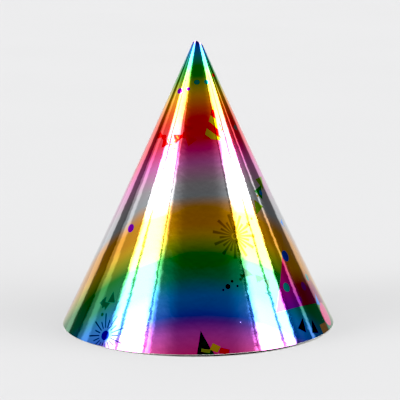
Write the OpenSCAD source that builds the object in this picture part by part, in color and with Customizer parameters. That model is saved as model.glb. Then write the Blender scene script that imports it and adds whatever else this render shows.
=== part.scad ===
// Party hat: a foil-faced card blank rolled into a cone, with its lap glued down the back.
// +Z runs up the axis, the rim stands on z = 0, and the front of the print faces -Y.

/* [Cone] */
// Height from the rim to the tip
hat_h = 160; // [100:1:240]
// Diameter across the card at the rim
rim_d = 154; // [100:1:200]
// Diameter across the card at the blunt tip
tip_d = 3.8; // [3:0.1:12]
// How far the sides draw in at half height
side_draw = 0.9; // [0:0.1:2]

/* [Sheet] */
// Thickness of the card
card_t = 0.4; // [0.3:0.05:0.8]
// Thickness of the printed foil film on the card's face
film_t = 0.1; // [0.05:0.01:0.15]
// Bare card left below the film at the rim
film_setback = 0.3; // [0.1:0.1:2]

/* [Back seam] */
// Turn of the lap round the back, in degrees
lap_turn = 12; // [8:1:24]
// Turn over which the flap steps up on to the lap, in degrees
step_turn = 1.2; // [0.8:0.1:2.5]
// How far below the tip the flap is trimmed
flap_trim = 2; // [1:0.5:6]
// Thickness of the glue line
glue_t = 0.1; // [0.05:0.01:0.3]
// Turn left dry beside the flap's free edge, in degrees
glue_margin = 2; // [1:0.5:4]
// Height left dry at the rim and at the top of the flap
glue_end_gap = 3; // [1:1:8]

/* [Elastic holes] */
// Diameter of each punched hole
hole_d = 3; // [2:0.1:6]
// Distance up the slope from the rim to the middle of a hole
hole_rise = 10; // [6:1:30]
// Turn from the middle of the front to each hole, in degrees
hole_turn = 96; // [60:1:140]

/* [Hidden] */
$fn = 180;

full_turn = 360;
front = -90;
back = 90;
profile_steps = 12;
riser_turn = 0.3;
punch_l = 8;

// Half angle of the cone, and how far a sheet's thickness reaches across it
half_angle = atan((rim_d - tip_d) / 2 / hat_h);
function across(t) = t / cos(half_angle);

// Distances outward from the card's face, layer by layer through the seam
flap_base = film_t + glue_t;
flap_face = flap_base + card_t;
shoulder_face = flap_base + card_t / 2;

// Where the lap starts and ends round the back, and the shoulder and flap that climb on to it
lap_start = back - lap_turn / 2;
lap_end = back + lap_turn / 2;
shoulder_start = lap_start - step_turn;
flap_start = lap_start - step_turn / 2;
flap_top = hat_h - flap_trim;
shoulder_top = flap_top - card_t;

// Radius of the card's face at height z: a straight cone, drawn in between its ends
function taper_r(z) = tip_d / 2 + (rim_d - tip_d) / 2 * (1 - z / hat_h);
function draw_in(z) = side_draw * 4 * (z / hat_h) * (1 - z / hat_h);
function face_r(z) = taper_r(z) - draw_in(z);

// Points up one side of a layer, a set distance out from the card's face.
// Every layer turns its corners at the same heights, so that the layers lie flat on each other.
function side(out, low, high) = [
    for (i = [0:profile_steps])
        let (z = max(low, min(high, hat_h * i / profile_steps)))
        [face_r(z) + across(out), z]
];

// Part of a turn of sheet between two distances out from the card's face
module layer(inner, outer, start, turn, low = 0, high = hat_h) {
    inner_side = side(inner, low, high);
    outer_side = side(outer, low, high);
    top_down = [for (i = [profile_steps:-1:0]) outer_side[i]];
    rotate([0, 0, start])
        rotate_extrude(angle = turn)
            polygon(concat(inner_side, top_down));
}

// Punches square to the slope, one on each side of the front
module elastic_punches() {
    z = hole_rise * cos(half_angle);
    tilt = atan((face_r(z - 1) - face_r(z + 1)) / 2);
    for (way = [-1, 1])
        rotate([0, 0, front + way * hole_turn])
            translate([face_r(z), 0, z])
                rotate([0, 90 - tilt, 0])
                    cylinder(d = hole_d, h = punch_l, center = true);
}

// Card blank: a full turn, a shoulder half a sheet high, and the flap that laps over its other edge
module card_cone() {
    color("whitesmoke")
        difference() {
            union() {
                layer(-card_t, 0, 0, full_turn);
                layer(-card_t / 2, shoulder_face, shoulder_start, step_turn, 0, shoulder_top);
                layer(flap_base, flap_face, flap_start, lap_end - flap_start, 0, flap_top);
            }
            elastic_punches();
        }
}

// Film on one stretch of card, reaching half a riser into the riser at each end of it
module film_run(face, start, end, top) {
    layer(face, face + film_t, start, end - riser_turn / 2 - start, film_setback, top);
}

// Film up one stair of the seam, from the middle of one run's thickness to the middle of the next
module film_riser(low_face, high_face, stair) {
    middle = film_t / 2;
    layer(low_face + middle, high_face + middle, stair - riser_turn, riser_turn, film_setback, flap_top);
}

// Foil film: under the flap and round the cone, then up the shoulder and the flap
module foil_film() {
    color("mediumorchid")
        difference() {
            union() {
                film_run(0, lap_start, shoulder_start + full_turn, hat_h);
                film_riser(0, shoulder_face, shoulder_start);
                film_run(shoulder_face, shoulder_start - riser_turn / 2, flap_start, flap_top);
                film_riser(shoulder_face, flap_face, flap_start);
                film_run(flap_face, flap_start - riser_turn / 2, lap_end + riser_turn / 2, flap_top);
            }
            elastic_punches();
        }
}

// Glue line between the lapped edge and the flap
module seam_glue() {
    color("khaki")
        layer(film_t, flap_base, lap_start, lap_turn - glue_margin, glue_end_gap, flap_top - glue_end_gap);
}

card_cone();
foil_film();
seam_glue();
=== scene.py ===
"""A foil party hat: printed rainbow film on white card, rolled into a cone and glued down the back.

Lengths are in metres, in the CAD frame: +Z up the axis, the rim on z = 0, the front facing -Y.
The print's artwork is laid out in millimetres on the flat sheet, x across and y down from the tip.
"""

import math

import bpy
import numpy as np
from mathutils import Matrix, Vector


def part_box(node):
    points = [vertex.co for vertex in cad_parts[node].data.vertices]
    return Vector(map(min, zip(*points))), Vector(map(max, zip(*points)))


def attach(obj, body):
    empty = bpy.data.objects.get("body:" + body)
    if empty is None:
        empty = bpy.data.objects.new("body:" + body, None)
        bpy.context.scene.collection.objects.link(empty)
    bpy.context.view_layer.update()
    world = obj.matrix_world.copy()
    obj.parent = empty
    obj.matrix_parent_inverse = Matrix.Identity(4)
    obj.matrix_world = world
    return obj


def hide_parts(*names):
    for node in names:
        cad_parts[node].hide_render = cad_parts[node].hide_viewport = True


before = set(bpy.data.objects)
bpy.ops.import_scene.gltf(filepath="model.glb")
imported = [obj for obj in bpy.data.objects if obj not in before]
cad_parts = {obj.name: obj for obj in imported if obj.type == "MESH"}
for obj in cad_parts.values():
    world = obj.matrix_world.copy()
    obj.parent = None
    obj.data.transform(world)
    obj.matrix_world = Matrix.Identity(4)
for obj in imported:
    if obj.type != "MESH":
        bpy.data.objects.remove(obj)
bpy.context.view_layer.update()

# ---------------------------------------------------------------- sizes

MM = 0.001
CARD_LOW, CARD_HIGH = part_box("card_cone")
FILM_LOW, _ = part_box("foil_film")
GLUE_LOW, GLUE_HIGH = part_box("seam_glue")
# The card's outer face is a straight cone from the rim to the tip, drawn in by SIDE_DRAW at half height.
HEIGHT = CARD_HIGH.z
RIM_R = (CARD_HIGH.x - CARD_LOW.x) / 2
TIP_R = 1.9 * MM
SIDE_DRAW = 0.9 * MM
CARD_T = 0.4 * MM
FILM_T = 0.1 * MM
GLUE_T = 0.1 * MM
SLANT = math.hypot(HEIGHT, RIM_R)
# A thickness square to the slope reaches this many times as far level
ACROSS = SLANT / HEIGHT

# The sheet runs a full turn from its hidden edge, then climbs on to itself. SHEET_START, FRONT and TIP_PEAK
# are degrees round from +X; the other turns are degrees along the sheet from its hidden edge.
SHEET_START = 84
FULL_TURN = 360
LAP_TURN = 12
SHEET_TURN = FULL_TURN + LAP_TURN
CLIMB_TURN = 3.2
CLIMB_END = FULL_TURN - 0.3
LAP_LIFT = CARD_T + FILM_T + GLUE_T
FRONT = 270
# Turn of the flat sheet for each turn of the cone
FLAT_PER_TURN = RIM_R / SLANT

# The tip is cut aslant: highest just left of the front, and lower by TIP_FALL on the far side.
TIP_PEAK = FRONT - 21
TIP_FALL = 4.4 * MM
TIP_REGION = 14 * MM

# The rim isn't quite flat: it stands clear of the floor by RIM_GAP at most, before and behind.
RIM_GAP = 1.1 * MM
RIM_GAP_AT = FRONT + 18
RIM_REGION = 5 * MM

# A hole each side of the front for the elastic: its radius, way up the slope and turn from the front
HOLE_R = 1.5 * MM
HOLE_RISE = 10 * MM
HOLE_TURN = 96


def smooth(t):
    """Smooth step from 0 to 1."""
    t = np.clip(t, 0, 1)
    return t * t * (3 - 2 * t)


# ---------------------------------------------------------------- the rolled sheet

# Waves round the rim: how many in a turn, how high in millimetres, and where each starts in radians
RULING_WAVES = [(3, 0.030, 0.4), (5, 0.018, 2.1), (11, 0.010, 4.0), (17, 0.007, 1.2), (29, 0.004, 5.3)]


def ruling_wave(angle):
    """How far the card stands off a true cone at the rim, at an angle in radians."""
    return sum(size * MM * math.sin(count * angle + start) for count, size, start in RULING_WAVES)


def face_r(z):
    """The radius of the card's outer face at one height."""
    share = z / HEIGHT
    return TIP_R + (RIM_R - TIP_R) * (1 - share) - SIDE_DRAW * 4 * share * (1 - share)


def lap_lift(turn):
    """How far the sheet has climbed on to its own hidden edge."""
    return LAP_LIFT * smooth((turn - CLIMB_END + CLIMB_TURN) / CLIMB_TURN)


def tip_fall(angle):
    """How far below the full height the tip's cut passes, at one place round the sheet."""
    return TIP_FALL * (1 - math.cos(angle - math.radians(TIP_PEAK))) / 2


def rim_gap(angle):
    """How far the rim stands clear of the floor."""
    return RIM_GAP * (1 + math.cos(2 * (angle - math.radians(RIM_GAP_AT)))) / 2


def sheet_point(turn, z, out):
    """A point on the rolled sheet: out is the distance outward from the card's face."""
    angle = math.radians(SHEET_START + turn)
    near_tip = max(0.0, (z - HEIGHT + TIP_REGION) / TIP_REGION)
    near_rim = max(0.0, 1 - z / RIM_REGION)
    z = z - tip_fall(angle) * near_tip + rim_gap(angle) * near_rim
    r = face_r(z) + (out + lap_lift(turn)) * ACROSS + ruling_wave(angle) * (1 - z / HEIGHT)
    return (r * math.cos(angle), r * math.sin(angle), z)


def flat_point(turn, z):
    """Where that point lies on the unrolled sheet, in millimetres from the tip."""
    s = SLANT * (1 - z / HEIGHT) / MM
    phi = math.radians(turn + SHEET_START - FRONT) * FLAT_PER_TURN
    return (s * math.sin(phi), s * math.cos(phi), 0)


# ---------------------------------------------------------------- mesh helpers

# Rings of quads round a hole, and how much closer together they are beside it
HOLE_RINGS = 3
RING_CROWDING = 1.4


class Sheet:
    """A closed sheet of even thickness, built as two copies of one grid joined round their edges."""

    def __init__(self, turns, heights, inner, outer, spread=None):
        self.turns = turns
        self.heights = heights
        self.sides = (inner, outer)
        self.spread = spread
        self.verts = []
        self.flats = []
        self.faces = []
        self.sharp = set()
        self.known = {}
        self.skipped = set()

    def corner(self, side, turn, z):
        key = (side, round(turn, 5), round(z, 8))
        if key not in self.known:
            self.known[key] = len(self.verts)
            aside = self.spread(turn, z) if self.spread else 0.0
            self.verts.append(sheet_point(turn + aside, z, self.sides[side]))
            self.flats.append(flat_point(turn, z))
        return self.known[key]

    def quad(self, corners):
        """One cell on both sides of the sheet; corners run anticlockwise seen from outside."""
        self.faces.append([self.corner(1, *c) for c in corners])
        self.faces.append([self.corner(0, *c) for c in reversed(corners)])

    def edge_wall(self, a, b):
        """The cut edge between two corners, with the sheet on the left when seen from outside."""
        inner_a, inner_b = self.corner(0, *a), self.corner(0, *b)
        outer_a, outer_b = self.corner(1, *a), self.corner(1, *b)
        self.faces.append([outer_b, outer_a, inner_a, inner_b])
        for pair in ((inner_a, inner_b), (outer_a, outer_b)):
            self.sharp.add(tuple(sorted(pair)))

    def grid(self):
        """Fills every cell but those given up to holes."""
        for i in range(len(self.turns) - 1):
            for j in range(len(self.heights) - 1):
                if (i, j) not in self.skipped:
                    a, b = self.turns[i], self.turns[i + 1]
                    low, high = self.heights[j], self.heights[j + 1]
                    self.quad([(a, low), (b, low), (b, high), (a, high)])

    def outline(self):
        """Closes the sheet round its four edges."""
        t, h = self.turns, self.heights
        for i in range(len(t) - 1):
            self.edge_wall((t[i], h[0]), (t[i + 1], h[0]))
            self.edge_wall((t[i + 1], h[-1]), (t[i], h[-1]))
        for j in range(len(h) - 1):
            self.edge_wall((t[-1], h[j]), (t[-1], h[j + 1]))
            self.edge_wall((t[0], h[j + 1]), (t[0], h[j]))

    def hole(self, turn, z, reach):
        """A round hole: the cells within reach of it, in degrees, give way to rings of quads."""
        i0 = int(np.argmin([abs(t - (turn - reach)) for t in self.turns]))
        i1 = int(np.argmin([abs(t - (turn + reach)) for t in self.turns]))
        rise = math.radians(reach) * face_r(z) / ACROSS
        j0 = int(np.argmin([abs(h - (z - rise)) for h in self.heights]))
        j1 = int(np.argmin([abs(h - (z + rise)) for h in self.heights]))
        self.skipped |= {(i, j) for i in range(i0, i1) for j in range(j0, j1)}
        t, h = self.turns, self.heights
        patch_edge = [(t[i], h[j0]) for i in range(i0, i1)] + [(t[i1], h[j]) for j in range(j0, j1)]
        patch_edge += [(t[i], h[j1]) for i in range(i1, i0, -1)] + [(t[i0], h[j]) for j in range(j1, j0, -1)]
        per_turn = math.radians(1) * face_r(z)
        rings = []
        for ring in range(HOLE_RINGS + 1):
            share = (ring / HOLE_RINGS) ** RING_CROWDING
            line = []
            for far in patch_edge:
                angle = math.atan2((far[1] - z) * ACROSS, (far[0] - turn) * per_turn)
                near = (turn + HOLE_R * math.cos(angle) / per_turn, z + HOLE_R * math.sin(angle) / ACROSS)
                line.append((near[0] + (far[0] - near[0]) * share, near[1] + (far[1] - near[1]) * share))
            rings.append(line if ring < HOLE_RINGS else patch_edge)
        count = len(patch_edge)
        for inner_line, outer_line in zip(rings, rings[1:]):
            for k in range(count):
                n = (k + 1) % count
                self.quad([inner_line[k], outer_line[k], outer_line[n], inner_line[n]])
        for k in range(count):
            self.edge_wall(rings[0][(k + 1) % count], rings[0][k])

    def build(self, name, material):
        """Makes the object, with the flat sheet's coordinates kept for its material."""
        mesh = bpy.data.meshes.new(name)
        mesh.from_pydata(self.verts, [], self.faces)
        flat = mesh.attributes.new("flat", "FLOAT_VECTOR", "POINT")
        flat.data.foreach_set("vector", np.array(self.flats, np.float32).ravel())
        mesh.materials.append(material)
        mesh.shade_smooth()
        sharp = mesh.attributes.new("sharp_edge", "BOOLEAN", "EDGE")
        marks = [tuple(sorted(e.vertices)) in self.sharp for e in mesh.edges]
        sharp.data.foreach_set("value", marks)
        mesh.update()
        obj = bpy.data.objects.new(name, mesh)
        bpy.context.scene.collection.objects.link(obj)
        return obj


def spaced(start, end, step):
    """Evenly spaced values from start to end, about a step apart."""
    count = max(1, round((end - start) / step))
    return [start + (end - start) * k / count for k in range(count + 1)]


def hole_places():
    """Each hole's turn along the sheet and its height."""
    z = HOLE_RISE / ACROSS
    return [(FRONT + way * HOLE_TURN - SHEET_START, z) for way in (-1, 1)]


# ---------------------------------------------------------------- node helpers

class Graph:
    """Short calls for building a node tree."""

    def __init__(self, tree):
        self.tree = tree
        self.tree.nodes.clear()

    def node(self, kind, **settings):
        made = self.tree.nodes.new(kind)
        for name, value in settings.items():
            setattr(made, name, value)
        return made

    def feed(self, socket, value):
        if isinstance(value, bpy.types.NodeSocket):
            self.tree.links.new(value, socket)
        else:
            socket.default_value = value

    def math(self, operation, a, b=None, c=None, clamp=False):
        made = self.node("ShaderNodeMath", operation=operation, use_clamp=clamp)
        for socket, value in zip(made.inputs, (a, b, c)):
            if value is not None:
                self.feed(socket, value)
        return made.outputs[0]

    def vector(self, operation, a, b=None, out=0):
        made = self.node("ShaderNodeVectorMath", operation=operation)
        self.feed(made.inputs[0], a)
        if b is not None:
            self.feed(made.inputs[1], b)
        return made.outputs[out]

    def parts(self, vector):
        made = self.node("ShaderNodeSeparateXYZ")
        self.feed(made.inputs[0], vector)
        return made.outputs

    def join(self, x, y, z=0.0):
        made = self.node("ShaderNodeCombineXYZ")
        for socket, value in zip(made.inputs, (x, y, z)):
            self.feed(socket, value)
        return made.outputs[0]

    def ramp(self, factor, stops):
        """A colour ramp from (place, colour) pairs, with places from 0 to 1."""
        made = self.node("ShaderNodeValToRGB")
        line = made.color_ramp
        while len(line.elements) < len(stops):
            line.elements.new(1.0)
        for element, (place, colour) in zip(line.elements, stops):
            element.position = place
            element.color = (*colour, 1)
        self.feed(made.inputs[0], factor)
        return made.outputs[0]

    def mix(self, share, a, b, blend="MIX"):
        """Mixes two colours."""
        made = self.node("ShaderNodeMix", data_type="RGBA", blend_type=blend)
        self.feed(made.inputs[0], share)
        for socket, value in ((made.inputs[6], a), (made.inputs[7], b)):
            self.feed(socket, (*value, 1) if isinstance(value, tuple) else value)
        return made.outputs[2]

    def blend(self, share, a, b):
        """Mixes two numbers."""
        made = self.node("ShaderNodeMix", data_type="FLOAT")
        self.feed(made.inputs[0], share)
        self.feed(made.inputs[2], a)
        self.feed(made.inputs[3], b)
        return made.outputs[0]

    def noise(self, vector, scale, detail=2.0, roughness=0.5):
        made = self.node("ShaderNodeTexNoise")
        self.feed(made.inputs["Vector"], vector)
        made.inputs["Scale"].default_value = scale
        made.inputs["Detail"].default_value = detail
        made.inputs["Roughness"].default_value = roughness
        return made.outputs["Fac"]

    def step(self, value, start, end):
        """Rises smoothly from 0 at start to 1 at end."""
        made = self.node("ShaderNodeMapRange", interpolation_type="SMOOTHSTEP")
        self.feed(made.inputs["Value"], value)
        made.inputs["From Min"].default_value = start
        made.inputs["From Max"].default_value = end
        return made.outputs[0]

    def window(self, value, low, high, soft, high_soft=None):
        """1 between low and high, falling smoothly to 0 over twice the softness at each end."""
        high_soft = high_soft or soft
        rise = self.step(value, low - soft, low + soft)
        fall = self.step(value, high + high_soft, high - high_soft)
        return self.math("MULTIPLY", rise, fall)

    def bump(self, height, distance, strength=1.0):
        """A bumped normal; the distance is in metres."""
        made = self.node("ShaderNodeBump")
        made.inputs["Distance"].default_value = distance
        made.inputs["Strength"].default_value = strength
        self.feed(made.inputs["Height"], height)
        return made.outputs[0]

    def flat_sheet(self):
        """The place on the unrolled sheet, in millimetres."""
        return self.node("ShaderNodeAttribute", attribute_name="flat").outputs["Vector"]


def new_material(name):
    """A material with its graph and its main shader."""
    material = bpy.data.materials.new(name)
    material.use_nodes = True
    graph = Graph(material.node_tree)
    shader = graph.node("ShaderNodeBsdfPrincipled")
    output = graph.node("ShaderNodeOutputMaterial")
    graph.tree.links.new(shader.outputs[0], output.inputs["Surface"])
    return material, graph, shader


def set_sockets(shader, **values):
    """Sets plain values on the shader's own sockets; an underscore in a name stands for a space."""
    for name, value in values.items():
        shader.inputs[name.replace("_", " ")].default_value = value


# ---------------------------------------------------------------- the print

# Inks on bright foil, as linear reflectances
INKS = {
    "sky": (0.045, 0.28, 0.85),
    "teal": (0.045, 0.4, 0.35),
    "green": (0.045, 0.37, 0.08),
    "lime": (0.13, 0.38, 0.045),
    "yellow": (0.68, 0.5, 0.045),
    "amber": (0.96, 0.42, 0.045),
    "orange": (1.0, 0.19, 0.045),
    "scarlet": (1.0, 0.09, 0.06),
    "crimson": (1.0, 0.085, 0.14),
    "pink": (0.92, 0.11, 0.32),
    "mauve": (0.8, 0.23, 0.57),
    "silver": (0.47, 0.44, 0.47),
    "bronze": (0.64, 0.34, 0.14),
    "gold": (0.68, 0.32, 0.045),
    "mustard": (0.63, 0.39, 0.045),
    "olive": (0.34, 0.37, 0.045),
    "leaf": (0.045, 0.25, 0.055),
    "pine": (0.045, 0.25, 0.15),
    "lagoon": (0.045, 0.245, 0.35),
    "azure": (0.055, 0.23, 0.6),
    "blue": (0.06, 0.19, 0.62),
    "ultramarine": (0.06, 0.14, 0.6),
    "violet": (0.22, 0.11, 0.5),
    "purple": (0.6, 0.13, 0.55),
    "magenta": (0.78, 0.13, 0.48),
    "rose": (0.92, 0.11, 0.34),
    "red": (0.9, 0.003, 0.002),
    "straw": (0.68, 0.45, 0.006),
    "shade": (0.32, 0.20, 0.004),
    "tint": (0.5, 0.52, 0.15),
    "moss": (0.03, 0.085, 0.045),
    "deep": (0.003, 0.006, 0.04),
    "sea": (0.02, 0.30, 0.28),
    "berry": (0.62, 0.03, 0.1),
    "grape": (0.45, 0.045, 0.28),
    "steel": (0.42, 0.45, 0.47),
    "heather": (0.22, 0.045, 0.42),
    "grass": (0.2, 0.36, 0.01),
    "plum": (0.22, 0.004, 0.42),
    "wine": (0.32, 0.02, 0.11),
    "rust": (0.35, 0.06, 0.004),
    "slate": (0.2, 0.24, 0.24),
    "bottle": (0.004, 0.1, 0.05),
    "navy": (0.004, 0.02, 0.28),
    "night": (0.04, 0.004, 0.07),
    "ink": (0.02, 0.02, 0.03),
}

# The rainbow down the sheet: distance from the tip in millimetres, and ink
BANDS = [
    (0, "violet"), (1.5, "ultramarine"), (4, "sky"), (10, "teal"), (15, "green"), (21, "lime"),
    (28, "yellow"), (32, "amber"), (39, "orange"), (46, "scarlet"), (58, "crimson"), (63, "pink"),
    (70, "mauve"), (82, "silver"), (89, "steel"), (94, "bronze"), (98, "gold"), (105, "gold"),
    (110, "mustard"), (115, "olive"), (122, "leaf"), (134, "pine"), (139, "lagoon"), (144, "azure"),
    (150, "blue"), (154, "ultramarine"), (158, "violet"), (164, "purple"), (169, "magenta"), (176, "rose"),
]
BAND_END = 180

# How the bands bend, in millimetres, at BEND_WIDTH to the side. The pairs hold the values above the first of
# BEND_ROWS and below the second. BEND_EASE flattens the droop further out.
BEND_WIDTH = 60
BEND_ROWS = (50, 130)
BEND_EASE = 0.35
TILT = (-6.4, -1.7)
DROOP = (-10.0, 14.7)
# The bands drop by a further SIDE_DROP outside SIDE_EDGE, a share of BEND_WIDTH, over SIDE_ROWS
SIDE_DROP = 5
SIDE_EDGE = 0.68
SIDE_SOFT = 0.13
SIDE_ROWS = (30, 109)
SIDE_ROWS_SOFT = 9


def band_place(g, x, y):
    """Distance down the rainbow, in millimetres. The bands tilt and droop across the sheet."""
    u = g.math("DIVIDE", x, BEND_WIDTH)
    square = g.math("MULTIPLY", u, u)
    bow = g.math("DIVIDE", square, g.math("MULTIPLY_ADD", square, BEND_EASE, 1.0))
    down = g.step(y, *BEND_ROWS)
    tilt = g.math("MULTIPLY", u, g.blend(down, *TILT))
    droop = g.math("MULTIPLY", bow, g.blend(down, *DROOP))
    beside = g.math("SUBTRACT", 1.0, g.window(u, -SIDE_EDGE, SIDE_EDGE, SIDE_SOFT))
    beside = g.math("MULTIPLY", beside, g.window(y, *SIDE_ROWS, SIDE_ROWS_SOFT))
    droop = g.math("MULTIPLY_ADD", beside, SIDE_DROP, droop)
    return g.math("SUBTRACT", y, g.math("ADD", tilt, droop))


# The artwork repeats at this turn of the flat sheet, in degrees
PRINT_REPEAT = 74
# Width over which a figure's edge fades, in millimetres
EDGE_BLUR = 0.3
# Half the width of a pennant's base for each unit of its length
PENNANT_SPREAD = 0.45
# A burst's turn in degrees, its short spokes as a share of the long ones, and its spokes' start, in cores
BURST_TURN = 8
SHORT_SPOKE = 0.7
SPOKE_START = 1.6


class Artwork:
    """The printed figures, each drawn at a place on the flat sheet in millimetres and turned by degrees."""

    def __init__(self, graph, points, ground):
        self.g = graph
        self.points = points
        self.colour = ground

    def local(self, x, y, size=1.0, turn=0.0):
        """The figure's own coordinates, where size is one unit."""
        made = self.g.node("ShaderNodeMapping", vector_type="TEXTURE")
        self.g.feed(made.inputs["Vector"], self.points)
        made.inputs["Location"].default_value = (x, y, 0)
        made.inputs["Rotation"].default_value = (0, 0, math.radians(turn))
        made.inputs["Scale"].default_value = (size, size, size)
        return made.outputs[0]

    def fill(self, distance, size, ink, strength=1.0, blend="MIX"):
        """Paints where a signed distance in units of size is below 0; ink is a name or a colour socket."""
        cover = self.g.math("MULTIPLY_ADD", distance, -size / EDGE_BLUR, 0.5, clamp=True)
        if strength < 1:
            cover = self.g.math("MULTIPLY", cover, strength)
        self.colour = self.g.mix(cover, self.colour, INKS.get(ink, ink), blend)

    def far_from(self, x, y):
        """Distance from a place on the sheet."""
        return self.g.vector("DISTANCE", self.points, (x, y, 0), 1)

    def dot(self, x, y, r, ink, strength=1.0):
        self.fill(self.g.math("SUBTRACT", self.far_from(x, y), r), 1.0, ink, strength)

    def bar(self, x, y, length, width, turn, ink):
        u, v, _ = self.g.parts(self.local(x, y, 1.0, turn))
        across = self.g.math("SUBTRACT", self.g.math("ABSOLUTE", v), width / 2)
        along = self.g.math("SUBTRACT", self.g.math("ABSOLUTE", u), length / 2)
        self.fill(self.g.math("MAXIMUM", across, along), 1.0, ink)

    def cone_distance(self, local, spread):
        """A triangle from its point at 0, 0 down to a base at v = 1: signed distance, u and v."""
        u, v, _ = self.g.parts(local)
        side = self.g.math("MULTIPLY_ADD", v, -spread, self.g.math("ABSOLUTE", u))
        return self.g.math("MAXIMUM", side, self.g.math("SUBTRACT", v, 1.0)), u, v

    def pennant(self, x, y, size, turn, ink):
        distance, _, _ = self.cone_distance(self.local(x, y, size, turn), PENNANT_SPREAD)
        self.fill(distance, size, ink)

    def burst(self, x, y, r, spokes, core, widths, inks, blend="MIX"):
        """A firework: tapering spokes of two lengths round a core, as wide as twice the widths, in to out."""
        g = self.g
        u, v, _ = g.parts(self.local(x, y, 1.0, BURST_TURN))
        far = self.far_from(x, y)
        angle = g.math("ARCTAN2", v, u)
        step = 2 * math.pi / spokes
        off_spoke = g.math("ABSOLUTE", g.math("WRAP", angle, step / 2, -step / 2))
        aside = g.math("MULTIPLY", off_spoke, far)
        long_one = g.math("ROUND", g.math("ABSOLUTE", g.math("SINE", g.math("MULTIPLY", angle, spokes / 4))))
        reach = g.math("MULTIPLY_ADD", long_one, r * (1 - SHORT_SPOKE), r * SHORT_SPOKE)
        width = g.math("MULTIPLY_ADD", far, (widths[1] - widths[0]) / r, widths[0])
        beside = g.math("SUBTRACT", aside, width)
        beyond = g.math("SUBTRACT", far, reach)
        inside = g.math("SUBTRACT", core * SPOKE_START, far)
        spoke = g.math("MAXIMUM", beside, g.math("MAXIMUM", beyond, inside))
        self.fill(spoke, 1.0, inks[0], blend=blend)
        self.fill(g.math("SUBTRACT", far, core), 1.0, inks[1], blend=blend)

    def party_hat(self, x, y, size, turn, spread, inks, stripes, slope=0.5):
        """A small hat with slanting stripes in two inks; x, y is its point and size its height."""
        g = self.g
        distance, u, v = self.cone_distance(self.local(x, y, size, turn), spread)
        self.fill(distance, size, inks[0])
        phase = g.math("MULTIPLY_ADD", u, slope * stripes, g.math("MULTIPLY", v, stripes))
        # Below 0 over half of each stripe's repeat
        stripe = g.math("SUBTRACT", g.math("PINGPONG", phase, 0.5), 0.25)
        scaled = g.math("DIVIDE", stripe, stripes)
        self.fill(g.math("MAXIMUM", distance, scaled), size, inks[1])


def repeated(g, x, y):
    """The sheet's coordinates, turned back by whole repeats of the artwork."""
    repeat = math.radians(PRINT_REPEAT)
    count = g.math("ROUND", g.math("DIVIDE", g.math("ARCTAN2", x, y), repeat))
    back = g.math("MULTIPLY", count, repeat)
    made = g.node("ShaderNodeVectorRotate", rotation_type="Z_AXIS")
    g.feed(made.inputs["Vector"], g.join(x, y))
    g.feed(made.inputs["Angle"], back)
    return made.outputs[0]


def draw_print(art):
    """Every figure in the artwork, from the tip down."""
    for x, y, r, ink in [
        (-9.5, 28.2, 1.7, "plum"), (-4.6, 27.8, 1.0, "plum"), (-5.8, 22.8, 0.6, "ink"),
        (-0.2, 24.2, 1.4, "sea"), (4.7, 23.8, 1.3, "sea"), (9.1, 18.7, 1.1, "red"),
        (24.4, 46.4, 1.6, "slate"), (-40.8, 102.8, 2.4, "plum"), (18.6, 136.0, 0.7, "ink"),
        (23.4, 134.6, 0.8, "bottle"), (21.6, 138.4, 0.6, "ink"), (13.6, 141.0, 0.5, "ink"),
    ]:
        art.dot(x, y, r, ink)
    draw_little_hat(art)
    draw_bows(art)
    for x, y, size, turn, ink in [
        (46.0, 69.5, 9.0, 35, "grass"), (42.2, 76.6, 8.5, 28, "leaf"), (35.0, 96.4, 8.0, 200, "grass"),
        (61.8, 90.8, 5.0, 20, "sky"),
    ]:
        art.pennant(x, y, size, turn, ink)
    art.dot(40.8, 81.8, 1.5, "azure")
    for x, y in [(37.4, 84.6), (34.8, 88.6), (31.4, 99.4), (28.4, 102.8)]:
        art.dot(x, y, 0.7, "shade")
    art.burst(20.5, 110.8, r=12.5, spokes=22, core=1.2, widths=(0.25, 0.85), inks=("tint", "tint"),
              blend="MULTIPLY")
    art.dot(16.2, 139.0, 1.3, "ink")
    for x, y, size, turn in [(25.0, 132.6, 4.2, 205), (26.8, 131.4, 3.6, 60), (31.2, 131.6, 4.6, 100),
                             (33.4, 135.8, 4.4, 190), (38.6, 132.4, 4.6, 80), (41.0, 137.4, 4.6, 160)]:
        art.pennant(x, y, size, turn, "moss")
    art.bar(38.9, 140.7, 1.6, 0.6, 10, "ink")
    draw_big_hat(art)
    for x, y, size, turn in [(-55.4, 139.6, 5.6, 40), (-53.2, 144.6, 5.0, 100), (-56.0, 147.6, 4.6, 200),
                             (-50.3, 137.8, 6.0, 12)]:
        art.pennant(x, y, size, turn, "bottle")
    art.dot(-57.6, 149.6, 1.0, "bottle")
    art.burst(-54.2, 162.0, r=12.5, spokes=18, core=2.7, widths=(0.2, 0.4), inks=("deep", "navy"))
    art.party_hat(1.4, 163.5, size=18, turn=-10, spread=0.34, inks=("night", "bottle"), stripes=2.5)
    art.bar(9.0, 172.8, 4.6, 4.2, 25, "straw")
    art.bar(14.0, 174.8, 5.0, 3.4, 15, "red")
    art.bar(4.0, 174.6, 5.0, 2.4, 10, "olive")


def draw_little_hat(art):
    """The small striped party hat high on the right, with confetti beside it."""
    art.party_hat(8.5, 37.2, size=19.5, turn=1.5, spread=0.235, inks=("red", "straw"), stripes=2.2,
                  slope=-0.66)
    for x, y, length, turn in [(12.6, 48.2, 2.4, 60), (13.8, 50.4, 2.0, 130), (12.4, 54.6, 2.2, 50)]:
        art.bar(x, y, length, 0.7, turn, "rust")


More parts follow.
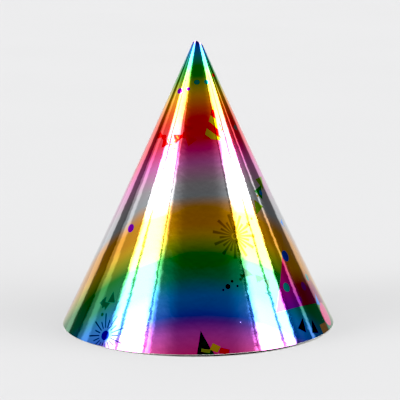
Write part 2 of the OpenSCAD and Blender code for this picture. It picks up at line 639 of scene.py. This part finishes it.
def draw_bows(art):
    """Two red bows high on the left, with confetti round them."""
    for x, y, size, turn in [(-19.6, 53.6, 5.2, 120), (-19.6, 53.6, 5.6, -10), (-6.6, 54.4, 6.4, 75),
                             (-6.6, 54.4, 6.0, -40), (-6.6, 54.4, 5.4, 205)]:
        art.pennant(x, y, size, turn, "red")
    art.dot(-19.6, 53.6, 1.5, "red")
    art.dot(-6.6, 54.4, 1.8, "red")
    for x, y, length, turn in [(-16.4, 56.4, 2.6, 80), (-15.0, 58.8, 2.2, 30), (-12.6, 57.4, 2.4, 120),
                               (-11.0, 55.2, 2.2, 60), (-12.8, 61.6, 1.8, 20), (-14.6, 54.4, 1.6, 100)]:
        art.bar(x, y, length, 0.7, turn, "rust")


BIG_HAT_PLACE = (57.0, 100.9)
BIG_HAT_TURN = -19.9
BIG_HAT_SIZE = 43
BIG_HAT_SPREAD = 0.667
# Inks down its two sides, and how far aside and how sharply one gives way to the other, in shares of its size
BIG_HAT_LEFT = [(0.05, "rust"), (0.35, "berry"), (0.7, "grape"), (1.0, "heather")]
BIG_HAT_RIGHT = [(0.0, "bronze"), (0.5, "gold"), (0.8, "wine"), (1.0, "wine")]
BIG_HAT_FOLD = -0.17
BIG_HAT_FOLD_RATE = 8.0


def draw_big_hat(art):
    """The largest figure: a spotted party hat, with two little dark ones under it."""
    g = art.g
    local = art.local(*BIG_HAT_PLACE, BIG_HAT_SIZE, BIG_HAT_TURN)
    distance, u, v = art.cone_distance(local, BIG_HAT_SPREAD)
    left = g.ramp(v, [(place, INKS[ink]) for place, ink in BIG_HAT_LEFT])
    right = g.ramp(v, [(place, INKS[ink]) for place, ink in BIG_HAT_RIGHT])
    fold = g.math("MULTIPLY_ADD", u, BIG_HAT_FOLD_RATE, 0.5 - BIG_HAT_FOLD * BIG_HAT_FOLD_RATE, clamp=True)
    art.fill(distance, BIG_HAT_SIZE, g.mix(fold, left, right))
    art.dot(53.8, 135.0, 2.6, "sea")
    art.dot(70.5, 130.5, 2.4, "plum", 0.8)
    art.dot(78.5, 122.5, 2.2, "sea")
    art.dot(64.0, 140.0, 2.2, "plum", 0.6)
    art.dot(56.2, 116.0, 3.2, "ultramarine")
    art.dot(93.0, 141.0, 7.0, "pink")
    art.pennant(84.5, 130.5, 7, -10, "sky")
    for x, y, turn in ((64.5, 150.8, 12), (73.0, 150.2, -12)):
        art.party_hat(x, y, size=7.5, turn=turn, spread=0.42, inks=("deep", "deep"), stripes=1.5)
    art.bar(86.0, 152.5, 9.0, 7.0, -25, "bronze")


# ---------------------------------------------------------------- materials

# Each noise is its repeats to the millimetre, its detail and, where given, its roughness. A grain stretches a
# noise by its smaller figures.

# The foil's crinkles and how far they stand, and the dust specks' radius and rough spacing in millimetres
CRINKLES = (0.13, 2.6, 0.6)
CRINKLE_RISE = 0.065 * MM
SPECK_R = 0.4
SPECK_SPACING = 17
# The foil's least roughness, and how much haze adds to it
FOIL_ROUGHNESS = 0.045
FOIL_HAZE = 0.04
HAZE = (0.25, 3.0)

CARD_CLOUDS = (0.08, 4.0, 0.6)
CARD_FIBRES = (4.0, 4.0, 0.7)
CARD_GRAIN = (1.0, 0.35, 1.0)
CARD_TONES = [(0.3, (0.66, 0.65, 0.61)), (0.7, (0.84, 0.83, 0.80))]
FIBRE_RISE = 0.05 * MM
FIBRE_STRENGTH = 0.6

GLUE_STREAKS = (1.2, 3.0)
GLUE_GRAIN = (1.0, 0.2, 1.0)
GLUE_TONES = [(0.3, (0.62, 0.52, 0.30)), (0.7, (0.80, 0.74, 0.55))]
GLUE_ROUGHNESS = 0.15
GLUE_HAZE = 0.3


def foil_material():
    """Mirror foil with the rainbow and the artwork in its colour."""
    material, g, shader = new_material("rainbow_foil")
    flat = g.flat_sheet()
    x, y, _ = g.parts(flat)
    place = g.math("DIVIDE", band_place(g, x, y), BAND_END)
    rainbow = g.ramp(place, [(mm / BAND_END, INKS[ink]) for mm, ink in BANDS])
    art = Artwork(g, repeated(g, x, y), rainbow)
    draw_print(art)
    g.feed(shader.inputs["Base Color"], art.colour)
    set_sockets(shader, Metallic=1.0, Coat_Weight=0.15, Coat_Roughness=0.03, Coat_IOR=1.5)
    haze = g.noise(flat, *HAZE)
    g.feed(shader.inputs["Roughness"], g.math("MULTIPLY_ADD", haze, FOIL_HAZE, FOIL_ROUGHNESS))
    cells = g.node("ShaderNodeTexVoronoi")
    g.feed(cells.inputs["Vector"], flat)
    cells.inputs["Scale"].default_value = 1 / SPECK_SPACING
    away = g.math("MULTIPLY", cells.outputs["Distance"], SPECK_SPACING / SPECK_R)
    specks = g.math("SUBTRACT", 1.0, away, clamp=True)
    normal = g.bump(g.math("ADD", g.noise(flat, *CRINKLES), specks), CRINKLE_RISE)
    g.feed(shader.inputs["Normal"], normal)
    g.feed(shader.inputs["Coat Normal"], normal)
    return material


def card_material():
    """Off-white card, cloudy on a large scale and fibrous on a small one."""
    material, g, shader = new_material("white_card")
    flat = g.flat_sheet()
    cloudy = g.noise(flat, *CARD_CLOUDS)
    fibre = g.noise(g.vector("MULTIPLY", flat, CARD_GRAIN), *CARD_FIBRES)
    tone = g.math("MULTIPLY_ADD", fibre, 0.5, g.math("MULTIPLY", cloudy, 0.5))
    g.feed(shader.inputs["Base Color"], g.ramp(tone, CARD_TONES))
    set_sockets(shader, Roughness=0.85, Specular_IOR_Level=0.3)
    g.feed(shader.inputs["Normal"], g.bump(fibre, FIBRE_RISE, FIBRE_STRENGTH))
    return material


def glue_material():
    """Yellowed glue, streaked up the seam."""
    material, g, shader = new_material("dried_glue")
    streaks = g.noise(g.vector("MULTIPLY", g.flat_sheet(), GLUE_GRAIN), *GLUE_STREAKS)
    g.feed(shader.inputs["Base Color"], g.ramp(streaks, GLUE_TONES))
    g.feed(shader.inputs["Roughness"], g.math("MULTIPLY_ADD", streaks, GLUE_HAZE, GLUE_ROUGHNESS))
    return material


# ---------------------------------------------------------------- pieces

# The grid's columns, in degrees, are finer over the climb; its rows are finer for so many each side of a hole
COLUMN = 1.0
FINE_COLUMN = 0.35
FINE_FROM = 355.0
ROW = 2.5 * MM
FINE_ROW = 1.25 * MM
FINE_ROWS = 4
# Degrees from a hole's middle to the edge of the patch that its rings fill
HOLE_REACH = 3


def sheet_turns():
    """Columns of the sheet, finer over the climb at the lap, with a whole column at each hole's middle."""
    turns = spaced(0.0, FINE_FROM, COLUMN)
    turns += spaced(FINE_FROM, CLIMB_END, FINE_COLUMN)[1:]
    return turns + spaced(CLIMB_END, SHEET_TURN, COLUMN)[1:]


def sheet_heights(low, high):
    """Rows of the sheet, finer round the holes."""
    hole_z = HOLE_RISE / ACROSS
    fine_low, fine_high = hole_z - FINE_ROWS * FINE_ROW, hole_z + FINE_ROWS * FINE_ROW
    heights = spaced(low, fine_low, ROW)
    heights += spaced(fine_low, fine_high, FINE_ROW)[1:]
    return heights + spaced(fine_high, high, ROW)[1:]


def rolled_piece(name, inner, outer, low, high, material):
    """A whole layer of the rolled sheet, with both holes through it."""
    sheet = Sheet(sheet_turns(), sheet_heights(low, high), inner, outer)
    for turn, z in hole_places():
        sheet.hole(turn, z, HOLE_REACH)
    sheet.grid()
    sheet.outline()
    return sheet.build(name, material)


def make_film():
    film = rolled_piece("rainbow_film", 0, FILM_T, FILM_LOW.z, HEIGHT, foil_material())
    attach(film, "root")
    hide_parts("foil_film")
    return film


def make_card():
    card = rolled_piece("card_blank", -CARD_T, 0, CARD_LOW.z, HEIGHT, card_material())
    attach(card, "root")
    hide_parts("card_cone")
    return card


# Turns at the glue line's two edges, with the flap's last stretch left dry, and its grid's columns and rows
DRY_TURN = 2.0
GLUE_TURNS = (1.0, LAP_TURN - DRY_TURN)
GLUE_COLUMN = 0.6
GLUE_ROW = 1.5 * MM
# Waves in those edges: how far out in degrees, radians for each millimetre up, and where each starts
GLUE_WAVES = [(0.5, 0.35, 0.0), (0.3, 0.83, 1.7)]


def glue_spread(turn, z):
    """How far sideways the glue was squeezed at one place, in degrees."""
    middle = sum(GLUE_TURNS) / 2
    side = (turn - middle) / (GLUE_TURNS[1] - middle)
    return side * sum(size * math.sin(z / MM * rate + start + side) for size, rate, start in GLUE_WAVES)


def make_glue():
    """The glue line, squeezed to an uneven width between the hidden edge and the flap."""
    heights = spaced(GLUE_LOW.z, GLUE_HIGH.z, GLUE_ROW)
    sheet = Sheet(spaced(*GLUE_TURNS, GLUE_COLUMN), heights, FILM_T, FILM_T + GLUE_T, glue_spread)
    sheet.grid()
    sheet.outline()
    glue = sheet.build("seam_glue_line", glue_material())
    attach(glue, "root")
    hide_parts("seam_glue")
    return glue


# ---------------------------------------------------------------- studio

# Fitted to the hat's outline in the photo
VIEW_DISTANCE = 13 * RIM_R
VIEW_ELEVATION = math.radians(10.65)
VIEW_ROLL = math.radians(-0.204)
AIM = Vector((0.0164 * RIM_R, 0, 0.9099 * RIM_R))
LENS_MM = 159.87
SENSOR_MM = 36
CLIP = (0.05, 50)


def make_camera():
    """The photo's view: a long lens from the front, a little above."""
    data = bpy.data.cameras.new("camera")
    data.sensor_width = SENSOR_MM
    data.lens = LENS_MM
    camera = bpy.data.objects.new("camera", data)
    bpy.context.scene.collection.objects.link(camera)
    forward = Vector((0, math.cos(VIEW_ELEVATION), -math.sin(VIEW_ELEVATION)))
    level = Vector((1, 0, 0))
    upward = level.cross(forward)
    right = math.cos(VIEW_ROLL) * level + math.sin(VIEW_ROLL) * upward
    up = -math.sin(VIEW_ROLL) * level + math.cos(VIEW_ROLL) * upward
    turned = Matrix((right, up, -forward)).transposed().to_4x4()
    camera.matrix_world = Matrix.Translation(AIM - forward * VIEW_DISTANCE) @ turned
    data.clip_start, data.clip_end = CLIP
    bpy.context.scene.camera = camera


FLOOR_REACH = 8.0
FLOOR_TONES = [(0.0, (0.60, 0.60, 0.605)), (1.0, (0.62, 0.62, 0.625))]
FLOOR_CLOUDS = 3.0
# Painted shade: the floor is painted black under the hat, from this far inside the rim, so that the under
# light leaves it dark
PAINTED_SHADE_MARGIN = 2 * MM


def make_floor():
    """A plain pale floor, with painted shade in black under the hat, seen through from below."""
    corners = [(x * FLOOR_REACH, y * FLOOR_REACH, 0) for x, y in ((-1, -1), (1, -1), (1, 1), (-1, 1))]
    mesh = bpy.data.meshes.new("floor")
    mesh.from_pydata(corners, [], [(0, 1, 2, 3)])
    floor = bpy.data.objects.new("floor", mesh)
    bpy.context.scene.collection.objects.link(floor)
    material, g, shader = new_material("pale_floor")
    place = g.node("ShaderNodeTexCoord").outputs["Object"]
    pale = g.ramp(g.noise(place, FLOOR_CLOUDS), FLOOR_TONES)
    # Painted shade: the floor turns black under the hat, inside the rim
    under = g.math("LESS_THAN", g.vector("LENGTH", place, out=1), RIM_R - PAINTED_SHADE_MARGIN)
    g.feed(shader.inputs["Base Color"], g.mix(under, pale, (0.0, 0.0, 0.0)))
    set_sockets(shader, Roughness=0.9, Specular_IOR_Level=0.0)
    clear = g.node("ShaderNodeBsdfTransparent")
    both = g.node("ShaderNodeMixShader")
    g.feed(both.inputs[0], g.node("ShaderNodeNewGeometry").outputs["Backfacing"])
    g.feed(both.inputs[1], shader.outputs[0])
    g.feed(both.inputs[2], clear.outputs[0])
    output = next(n for n in g.tree.nodes if n.type == "OUTPUT_MATERIAL")
    g.feed(output.inputs["Surface"], both.outputs[0])
    mesh.materials.append(material)


# The light below the floor: metres down, metres across and power
UNDER_DEPTH = 0.35
UNDER_SIZE = 0.4
UNDER_WATTS = 1.3


def make_under_light(pieces):
    """A soft light below the floor that only reaches the hat, so that its inside shows from below."""
    data = bpy.data.lights.new("under_light", "AREA")
    data.shape = "DISK"
    data.size = UNDER_SIZE
    data.energy = UNDER_WATTS
    lamp = bpy.data.objects.new("under_light", data)
    lamp.location = (0, 0, -UNDER_DEPTH)
    lamp.rotation_euler = (math.pi, 0, 0)
    bpy.context.scene.collection.objects.link(lamp)
    reached = bpy.data.collections.new("reached_from_below")
    for piece in pieces:
        reached.objects.link(piece)
    lamp.light_linking.receiver_collection = reached
    lamp.light_linking.blocker_collection = reached


# Studio panels, which stand beside the hat and show in the foil: one edge and its softness, the other edge
# and its softness, lean, and brightness. Edges are degrees round from the camera, positive towards +X, and a
# panel leans by so many degrees round for each degree up from LEAN_FROM.
PANELS = [
    (-50.0, 7.0, -86.5, 3.5, 0.0, 20.0),
    (57.0, 8.0, 105.0, 2.0, 1.4, 17.0),
    (-28, 10.0, -60, 5.0, 0.0, 0.5),
    (42, 12.0, 70, 5.0, 0.0, 0.4),
    (-32, 12.0, -100, 12.0, 0.0, 0.15),
    (-90, 3.0, -122, 1.5, 0.0, 0.55),
    (-108, 1.5, -116, 1.5, 0.0, 0.9),
    (-124, 2.0, -140, 2.0, 0.0, 0.12),
    (98, 3.0, 106, 3.0, 0.0, 0.20),
    (106, 3.0, 142, 3.0, 0.0, 0.07),
    (113, 1.0, 116.5, 1.0, 0.0, 1.6),
    (-115, 12.0, 115, 12.0, 0.0, 0.20),
]
LEAN_FROM = 30
# Degrees up at the panels' lower and upper edges, and the softness of every level edge
PANEL_ELEVATION = (2, 36.5)
PANEL_SOFT = 5.5
# The share of the panels' light that falls on surfaces that don't mirror it
PANEL_SPILL = 0.25
# The wall behind: one edge, the other edge, softness and brightness, up to WALL_TOP degrees
WALL = [
    (-190, -138, 1.3, 0.85),
    (-154, -139, 2.5, 0.35),
    (142, 190, 1.5, 0.65),
    (143, 160, 3.0, 0.35),
]
WALL_TOP = 24
# Dark seams between panels: middle and half width in degrees, and the share of light they take
SEAMS = [(-77, 1.6), (-50.5, 1.3), (56.5, 1.5), (81.5, 1.5)]
SEAM_SOFTNESS = 0.3
SEAM_DEPTH = 0.92
# Even light from all round, more of it from above UPPER_FROM degrees, and most from above OVERHEAD_FROM
ROOM_LIGHT = 0.172
UPPER_FROM = 33
UPPER_LIGHT = 0.12
OVERHEAD_FROM = 62
OVERHEAD_LIGHT = 4.9
# Elevations for light that reaches past straight up, or down to straight down
PAST_TOP = 100
STRAIGHT_DOWN = -90
# What the camera sees past the floor
BACKGROUND = (0.83, 0.83, 0.84)


def make_world():
    """The studio's light, painted by direction on the world, with a plain background for the camera."""
    world = bpy.data.worlds.new("studio")
    bpy.context.scene.world = world
    world.use_nodes = True
    g = Graph(world.node_tree)
    x, y, z = g.parts(g.node("ShaderNodeTexCoord").outputs["Generated"])
    azimuth = g.math("DEGREES", g.math("ARCTAN2", x, g.math("MULTIPLY", y, -1.0)))
    elevation = g.math("DEGREES", g.math("ARCSINE", z))
    panels = 0.0
    above = g.math("SUBTRACT", elevation, LEAN_FROM)
    for one_edge, one_soft, other_edge, other_soft, lean, strength in PANELS:
        place = g.math("MULTIPLY_ADD", above, -lean, azimuth) if lean else azimuth
        (low, low_soft), (high, high_soft) = sorted([(one_edge, one_soft), (other_edge, other_soft)])
        panels = g.math("MULTIPLY_ADD", g.window(place, low, high, low_soft, high_soft), strength, panels)
    for middle, half in SEAMS:
        gap = g.window(azimuth, middle - half, middle + half, half * SEAM_SOFTNESS)
        panels = g.math("MULTIPLY", panels, g.math("MULTIPLY_ADD", gap, -SEAM_DEPTH, 1.0))
    panels = g.math("MULTIPLY", panels, g.window(elevation, *PANEL_ELEVATION, PANEL_SOFT))
    mirrored = g.node("ShaderNodeLightPath").outputs["Is Glossy Ray"]
    panels = g.math("MULTIPLY", panels, g.math("MULTIPLY_ADD", mirrored, 1 - PANEL_SPILL, PANEL_SPILL))
    light = g.math("ADD", panels, ROOM_LIGHT)
    below_top = g.window(elevation, STRAIGHT_DOWN, WALL_TOP, PANEL_SOFT)
    for start, end, soft, strength in WALL:
        wall = g.math("MULTIPLY", g.window(azimuth, start, end, soft), below_top)
        light = g.math("MULTIPLY_ADD", wall, strength, light)
    for start, strength in ((UPPER_FROM, UPPER_LIGHT), (OVERHEAD_FROM, OVERHEAD_LIGHT)):
        above = g.window(elevation, start, PAST_TOP, PANEL_SOFT)
        light = g.math("MULTIPLY_ADD", above, strength, light)
    studio = g.node("ShaderNodeBackground")
    g.feed(studio.inputs["Strength"], light)
    plain = g.node("ShaderNodeBackground")
    plain.inputs["Color"].default_value = (*BACKGROUND, 1)
    both = g.node("ShaderNodeMixShader")
    g.feed(both.inputs[0], g.node("ShaderNodeLightPath").outputs["Is Camera Ray"])
    g.feed(both.inputs[1], studio.outputs[0])
    g.feed(both.inputs[2], plain.outputs[0])
    output = g.node("ShaderNodeOutputWorld")
    g.feed(output.inputs["Surface"], both.outputs[0])


# Light at or under this share of white shows as black
BLACK_LEVEL = 0.03
BOUNCES = 8


def set_picture():
    """The picture's tones and the depth of its reflections."""
    scene = bpy.context.scene
    scene.view_settings.view_transform = "Standard"
    scene.cycles.use_denoising = True
    scene.cycles.max_bounces = BOUNCES
    scene.cycles.caustics_reflective = False
    scene.view_settings.use_curve_mapping = True
    scene.view_settings.curve_mapping.black_level = (BLACK_LEVEL,) * 3
    scene.view_settings.curve_mapping.update()


make_camera()
pieces = [make_card(), make_film(), make_glue()]
make_floor()
make_under_light(pieces)
make_world()
set_picture()
